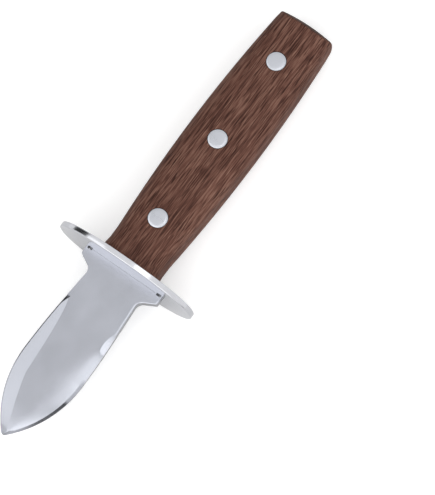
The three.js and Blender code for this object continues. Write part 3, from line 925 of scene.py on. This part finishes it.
class KNIFE_OT_scales(bpy.types.Operator):
    """Models one wooden scale with its tang recess and rivet holes, and turns a copy over for the back"""

    bl_idname = "oyster_knife.scales"
    bl_label = "Add scales"

    def execute(self, context):
        wood = dark_wood("dark_wood", context.scene.knife_finish)
        front = self.shaped_block(context.scene.knife_handle)
        self.hollow(front, context.scene)
        smooth(front, SCALE_SMOOTHING)
        back = front.copy()
        back.data = front.data.copy()
        back.name = "back_wood_scale"
        context.collection.objects.link(back)
        back.data.transform(HALF_TURN)
        dress(front, "handle_wood", wood, "front_scale")
        dress(back, "handle_wood", wood, "back_scale")
        return {"FINISHED"}

    def half_width(self, sizes, x):
        """Half the handle's width: a slight flare at the guard, a waist, a belly and the butt."""
        waist = SCALE_HIGH.x - sizes.waist_from_guard
        belly = SCALE_LOW.x + sizes.belly_from_butt
        if x > waist:
            return lerp(sizes.waist_width, sizes.front_width, share_of(waist, SCALE_HIGH.x, x) ** 2) / 2
        end, width = (waist, sizes.waist_width) if x > belly else (SCALE_LOW.x, sizes.butt_width)
        return lerp(sizes.belly_width, width, share_of(belly, end, x) ** 2) / 2

    def shaped_block(self, sizes):
        """A block that is drawn to the handle's outline and rounded along its edges."""
        belly = sizes.belly_width / 2
        scale = box_tool((SCALE_LOW.x, -belly, SCALE_LOW.z), (SCALE_HIGH.x, belly, SCALE_HIGH.z))
        scale.name = "front_wood_scale"
        bpy.ops.object.transform_apply(location=True, rotation=True, scale=True)
        bpy.ops.object.mode_set(mode="EDIT")
        select_edges(scale, lambda edge: length_along(edge) > belly)
        bpy.ops.mesh.subdivide(number_cuts=SCALE_STEPS - 1)
        mesh = bmesh.from_edit_mesh(scale.data)
        for corner in mesh.verts:
            corner.co.y *= self.half_width(sizes, corner.co.x) / belly
        select_edges(scale, lambda edge: length_along(edge) > NEAR and on_top(edge))
        bpy.ops.mesh.bevel(offset=sizes.edge_radius, segments=SCALE_EDGE_STEPS)
        self.dome_butt(scale, sizes)
        select_edges(scale, lambda edge: parts_butt(edge) and not on_seam(edge))
        bpy.ops.mesh.bevel(offset=sizes.butt_edge_radius, segments=SCALE_EDGE_STEPS)
        select_edges(scale, lambda edge: on_seam(edge) and parts_side(edge))
        bpy.ops.mesh.bevel(offset=sizes.seam_break, segments=1)
        deselect()
        return scale

    def dome_butt(self, scale, sizes):
        """Parts the butt's face into rows and columns, and domes and crowns it."""
        half = sizes.butt_width / 2
        heights = [lerp(SCALE_LOW.z, SCALE_HIGH.z, row / BUTT_ROWS) for row in range(1, BUTT_ROWS)]
        sides = [lerp(-half, half, column / BUTT_COLUMNS) for column in range(1, BUTT_COLUMNS)]
        planes = [((0, 0, z), (0, 0, 1)) for z in heights] + [((0, y, 0), (0, 1, 0)) for y in sides]
        for point, normal in planes:
            select_faces(scale, lambda face: face.calc_center_median().x < SCALE_LOW.x + NEAR)
            bpy.ops.mesh.bisect(plane_co=point, plane_no=normal, threshold=NEAR)
        mesh = bmesh.from_edit_mesh(scale.data)
        for corner in mesh.verts:
            if corner.co.x < SCALE_LOW.x + NEAR:
                corner.co.x += sizes.butt_dome * (corner.co.z / SCALE_HIGH.z) ** 2
                corner.co.x += sizes.butt_crown * (corner.co.y / half) ** 2

    def hollow(self, scale, scene):
        """Cuts the tang's recess and the rivets' holes and seats, and breaks the seats' edges."""
        sizes, rivet, blade = scene.knife_handle, scene.knife_rivet, scene.knife_blade
        gap = sizes.tang_clearance
        side, top = blade.tang_width / 2 + gap, blade.tang_thickness / 2 + gap
        cut(scale, box_tool((BLADE_LOW.x - gap, -side, -top), (GUARD_HIGH.x, side, top)))
        above = SCALE_HIGH.z + rivet.head_depth
        seat = SCALE_HIGH.z - rivet.head_depth - rivet.clearance
        for place in RIVET_PLACES:
            cut(scale, round_tool(rivet.sleeve_radius + rivet.clearance, -above, above, place))
            cut(scale, round_tool(rivet.head_radius + rivet.clearance, seat, above, place))
        choose(scale)
        bpy.ops.object.mode_set(mode="EDIT")
        select_edges(scale, lambda edge: on_top(edge) and rims_seat(edge))
        bpy.ops.mesh.bevel(offset=sizes.hole_break, segments=HOLE_EDGE_STEPS)
        deselect()


class KNIFE_OT_rivets(bpy.types.Operator):
    """Models a rivet's headed pin and headed sleeve, and copies them to each rivet's place"""

    bl_idname = "oyster_knife.rivets"
    bl_label = "Add rivets"

    def execute(self, context):
        sizes, finishes = context.scene.knife_rivet, context.scene.knife_finish
        steel = polished_steel("satin_rivet_steel", finishes.rivet_steel, finishes.rivet_roughness)
        halves = {"pin": self.pin(sizes), "sleeve": self.sleeve(sizes)}
        for half, profile in halves.items():
            model = extruded_sections(f"rivet_{half}", [self.circle(*step) for step in profile])
            smooth(model, RIVET_SMOOTHING)
            for number, place in zip(RIVETS, RIVET_PLACES):
                copy = model.copy()
                copy.data = model.data.copy()
                copy.name = f"rivet_{number}_headed_{half}"
                context.collection.objects.link(copy)
                copy.data.transform(Matrix.Translation((place, 0, 0)))
                dress(copy, "rivet_steel", steel, f"rivet_{number}_{half}")
            bpy.data.objects.remove(model)
        return {"FINISHED"}

    def circle(self, radius, height):
        """A ring of points about Z."""
        turns = [FULL_TURN * step / ROUND_STEPS for step in range(ROUND_STEPS)]
        return [Vector((radius * math.cos(turn), radius * math.sin(turn), height)) for turn in turns]

    def head(self, sizes, top):
        """(radius, height) of a head from under its rim to the middle of its crown."""
        face = sizes.head_radius - sizes.rim_width
        profile = [(sizes.head_radius, top - sizes.head_depth), (sizes.head_radius, top - sizes.rim_drop)]
        for step in range(DOME_STEPS):
            share = 1 - step / DOME_STEPS
            profile.append((face * share, top + sizes.dome * (1 - share**2)))
        return profile

    def pin(self, sizes):
        """(radius, height) of the pin from its foot to its head's crown."""
        top = SCALE_HIGH.z
        foot = sizes.head_depth + sizes.end_gap - top
        shank = [(sizes.pin_radius, foot), (sizes.pin_radius, top - sizes.head_depth)]
        return shank + self.head(sizes, top)

    def sleeve(self, sizes):
        """(radius, height) of the sleeve from its head's crown, over its mouth, to the bottom of its bore."""
        top = SCALE_HIGH.z
        under_head, mouth = sizes.head_depth - top, top - sizes.head_depth - sizes.end_gap
        bore = sizes.pin_radius + sizes.clearance
        head = [(radius, -height) for radius, height in reversed(self.head(sizes, top))]
        outside = [(sizes.sleeve_radius, under_head), (sizes.sleeve_radius, mouth)]
        inside = [(bore, mouth), (bore, under_head)]
        return head + outside + inside


class KNIFE_OT_stage(bpy.types.Operator):
    """Sets the camera, the white floor and the light"""

    bl_idname = "oyster_knife.stage"
    bl_label = "Set the stage"

    def execute(self, context):
        scene, settings = context.scene, context.scene.knife_stage
        scene.view_settings.view_transform = "Standard"
        self.camera(scene, settings)
        self.floor(settings)
        self.world(scene, settings)
        for softbox in SOFTBOXES:
            self.hang_softbox(softbox)
        for card in CARDS:
            self.hang_card(card, settings.card_colour)
        return {"FINISHED"}

    def camera(self, scene, settings):
        """A camera round the knife, at the photograph's angle."""
        deselect()
        bpy.ops.object.camera_add()
        camera = bpy.context.object
        camera.name = "camera"
        level, up = math.cos(settings.elevation), math.sin(settings.elevation)
        back = Vector((math.sin(settings.azimuth) * level, -math.cos(settings.azimuth) * level, up))
        turn = (-back).to_track_quat("-Z", "Y").to_matrix().to_4x4()
        place = Matrix.Translation(Vector(settings.aim) + settings.distance * back)
        camera.matrix_world = place @ turn @ Matrix.Rotation(settings.roll, 4, "Z")
        camera.data.lens = settings.lens
        scene.camera = camera

    def floor(self, settings):
        """A disc under the guard's rim and the butt's lower edge, with light of its own for the camera."""
        deselect()
        rest = (GUARD_LOW.x, 0, GUARD_LOW.z)
        bpy.ops.mesh.primitive_circle_add(
            vertices=ROUND_STEPS, radius=settings.floor_radius, fill_type="NGON", location=rest
        )
        floor = bpy.context.object
        floor.name = "floor"
        tilt = math.atan2(GUARD_HIGH.z - SCALE_HIGH.z, GUARD_LOW.x - SCALE_LOW.x)
        floor.rotation_euler = (0, tilt, 0)
        bpy.ops.object.transform_apply(location=True, rotation=True, scale=True)
        finish = Finish("white_floor")
        seen = finish.add("ShaderNodeLightPath").outputs["Is Camera Ray"]
        strength = finish.combine("MULTIPLY", seen, settings.floor_lift)
        plain = finish.add("ShaderNodeBsdfDiffuse", {"Color": opaque(settings.floor_colour)})
        lift = finish.add("ShaderNodeEmission", {"Color": WHITE, "Strength": strength})
        both = finish.add("ShaderNodeAddShader", {0: plain.outputs[0], 1: lift.outputs[0]})
        floor.data.materials.append(finish.made_of(both))

    def world(self, scene, settings):
        """White for the camera and reflections, and for other light a sky that is stronger on one side."""
        scene.world = bpy.data.worlds.new("white_world")
        scene.world.use_nodes = True
        nodes = Nodes(scene.world.node_tree)
        path = nodes.add("ShaderNodeLightPath").outputs
        seen = nodes.total(path["Is Camera Ray"], path["Is Glossy Ray"], path["Is Transmission Ray"])
        strong = (math.sin(settings.sky_turn), math.cos(settings.sky_turn), 0)
        ways = {0: nodes.add("ShaderNodeTexCoord").outputs["Generated"], 1: strong}
        slant = nodes.add("ShaderNodeVectorMath", ways, operation="DOT_PRODUCT").outputs["Value"]
        levels = (settings.sky_level - settings.sky_slant, settings.sky_level + settings.sky_slant)
        level = nodes.spread(seen, (0, 1), (nodes.spread(slant, (-1, 1), levels), 1))
        background = nodes.add("ShaderNodeBackground", {"Color": WHITE, "Strength": level})
        nodes.add("ShaderNodeOutputWorld", {"Surface": background.outputs[0]})

    def hung(self, direction):
        """A place in a direction from the knife, which faces the knife."""
        away = Vector(direction).normalized()
        along = (Vector((1, 0, 0)) - away.x * away).normalized()
        facing = Matrix((along, away.cross(along), away)).transposed().to_4x4()
        return Matrix.Translation(away * HANGING_DISTANCE) @ facing

    def hang_softbox(self, softbox):
        """A soft rectangular lamp that faces the knife and that the camera doesn't see."""
        deselect()
        bpy.ops.object.light_add(type="AREA")
        lamp = bpy.context.object
        lamp.name = softbox.name
        lamp.matrix_world = self.hung(softbox.direction)
        lamp.data.shape = "RECTANGLE"
        lamp.data.size, lamp.data.size_y = softbox.sides
        lamp.data.energy = softbox.radiance * math.pi * math.prod(softbox.sides)
        lamp.visible_camera = False

    def hang_card(self, card, value):
        """A black card that faces the knife and shows in reflections alone."""
        deselect()
        bpy.ops.mesh.primitive_plane_add(size=1)
        plane = bpy.context.object
        plane.name = card.name
        plane.matrix_world = self.hung(card.direction) @ Matrix.Diagonal((*card.sides, 1, 1))
        finish = Finish("black_card")
        black = finish.add("ShaderNodeBsdfDiffuse", {"Color": opaque(value)})
        plane.data.materials.append(finish.made_of(black))
        plane.visible_camera = False
        plane.visible_diffuse = False
        plane.visible_shadow = False
        plane.visible_transmission = False


class KNIFE_PT_panel(bpy.types.Panel):
    """Lists the knife's settings and steps"""

    bl_idname = "KNIFE_PT_panel"
    bl_label = "Oyster Knife"
    bl_space_type = "VIEW_3D"
    bl_region_type = "UI"
    bl_category = "Oyster Knife"

    def draw(self, context):
        for operator, group in STEPS:
            box = self.layout.box()
            box.operator(operator.bl_idname)
            settings = getattr(context.scene, group)
            for name in settings.__annotations__:
                box.prop(settings, name)
        for name in context.scene.knife_finish.__annotations__:
            self.layout.prop(context.scene.knife_finish, name)


GROUPS = {
    "knife_blade": BladeSettings,
    "knife_guard": GuardSettings,
    "knife_handle": HandleSettings,
    "knife_rivet": RivetSettings,
    "knife_finish": FinishSettings,
    "knife_stage": StageSettings,
}
STEPS = (
    (KNIFE_OT_blade, "knife_blade"),
    (KNIFE_OT_guard, "knife_guard"),
    (KNIFE_OT_scales, "knife_handle"),
    (KNIFE_OT_rivets, "knife_rivet"),
    (KNIFE_OT_stage, "knife_stage"),
)
CLASSES = (*GROUPS.values(), *(operator for operator, _ in STEPS), KNIFE_PT_panel)


def register():
    """Registers the classes and hangs the settings on the scene."""
    for item in CLASSES:
        bpy.utils.register_class(item)
    for name, group in GROUPS.items():
        setattr(bpy.types.Scene, name, PointerProperty(type=group))


def unregister():
    """Takes the settings and the classes away again."""
    for name in GROUPS:
        delattr(bpy.types.Scene, name)
    for item in reversed(CLASSES):
        bpy.utils.unregister_class(item)


def main():
    """Builds the knife and its stage."""
    register()
    bpy.ops.oyster_knife.stage()
    bpy.ops.oyster_knife.blade()
    bpy.ops.oyster_knife.guard()
    bpy.ops.oyster_knife.scales()
    bpy.ops.oyster_knife.rivets()
    deselect()


if __name__ == "__main__":
    main()
